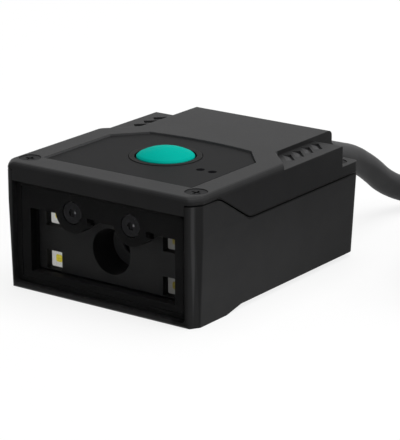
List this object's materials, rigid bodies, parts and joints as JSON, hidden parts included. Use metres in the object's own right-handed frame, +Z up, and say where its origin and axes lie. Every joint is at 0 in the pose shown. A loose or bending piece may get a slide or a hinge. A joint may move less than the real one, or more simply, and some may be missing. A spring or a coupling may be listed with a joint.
{
  "type": "fixed barcode reader",
  "caption": "Small dark box-shaped fixed barcode reader: clear front window over a camera engine with corner lamps, teal push button on the lid, rear cable with a coil and plug.",
  "frame": {"origin": "under the middle of the body, on the plane of the front foot", "axes": "+X to the reader's right seen from its window side, +Y from the window to the rear cable, +Z up"},
  "size_m": [0.1185, 0.0965, 0.0243],
  "materials": {
    "housing_plastic": "fine spark-eroded grain, dark grey",
    "cover_plastic": "fine spark-eroded grain, dark grey",
    "label_film": "printed film, satin dark grey",
    "button_teal": "smooth moulded teal",
    "trim_black": "smooth black",
    "light_pipe": "smoked clear plastic",
    "screw_black": "black oxide",
    "window_clear": "clear, coated",
    "seal_rubber": "black foam",
    "bezel_black": "smooth black",
    "screw_steel": "plated",
    "engine_plastic": "fine matt black",
    "barrel_black": "matt black",
    "lens_glass": "coated lens",
    "lamp_white": "white package",
    "lamp_phosphor": "yellow phosphor",
    "board_green": "green solder mask",
    "chip_black": "black moulding compound",
    "flex_amber": "amber film",
    "connector_cream": "cream nylon",
    "capacitor_tan": "tan ceramic",
    "insert_brass": "turned brass",
    "gland_rubber": "moulded rubber",
    "cable_jacket": "soft matt jacket",
    "tie_black": "woven hook strap",
    "plug_plastic": "moulded soft plastic",
    "plug_steel": "nickel plated"
  },
  "bodies": {
    "reader": {"bottom_housing": "housing_plastic", "top_cover": "cover_plastic", "label_panel": "label_film", "button_ring": "trim_black", "indicator_pipes": "light_pipe", "cover_screws": "screw_black", "front_window": "window_clear", "window_seal": "seal_rubber", "front_bezel": "bezel_black", "engine_screws": "screw_black", "engine_frame": "engine_plastic", "lens_barrel": "barrel_black", "lens_glass": "lens_glass", "illumination_lamps": "lamp_white", "lamp_emitters": "lamp_phosphor", "engine_board": "board_green", "image_sensor": "chip_black", "flex_ribbon": "flex_amber", "flex_connectors": "connector_cream", "main_board": "board_green", "decoder_chip": "chip_black", "memory_chip": "chip_black", "capacitors": "capacitor_tan", "beeper": "chip_black", "board_screws": "screw_steel", "button_board": "board_green", "push_switch": "chip_black", "indicator_lamps": "lamp_white", "button_board_screws": "screw_steel", "cable_header": "connector_cream", "inner_wires": "cable_jacket", "mount_inserts": "insert_brass", "cable_gland": "gland_rubber", "cable_lead": "cable_jacket", "cable_coil": "cable_jacket", "cable_tie": "tie_black", "plug_lead": "cable_jacket", "plug_body": "plug_plastic", "plug_shell": "plug_steel", "plug_tongue": "connector_cream"},
    "button": {"button_cap": "button_teal"}
  },
  "joints": [
    {"name": "button_press", "type": "slide", "parent": "reader", "child": "button", "axis": [0, 0, -1], "range_m": [0, 0.0006], "stiffness_N_per_m": 2000}
  ]
}
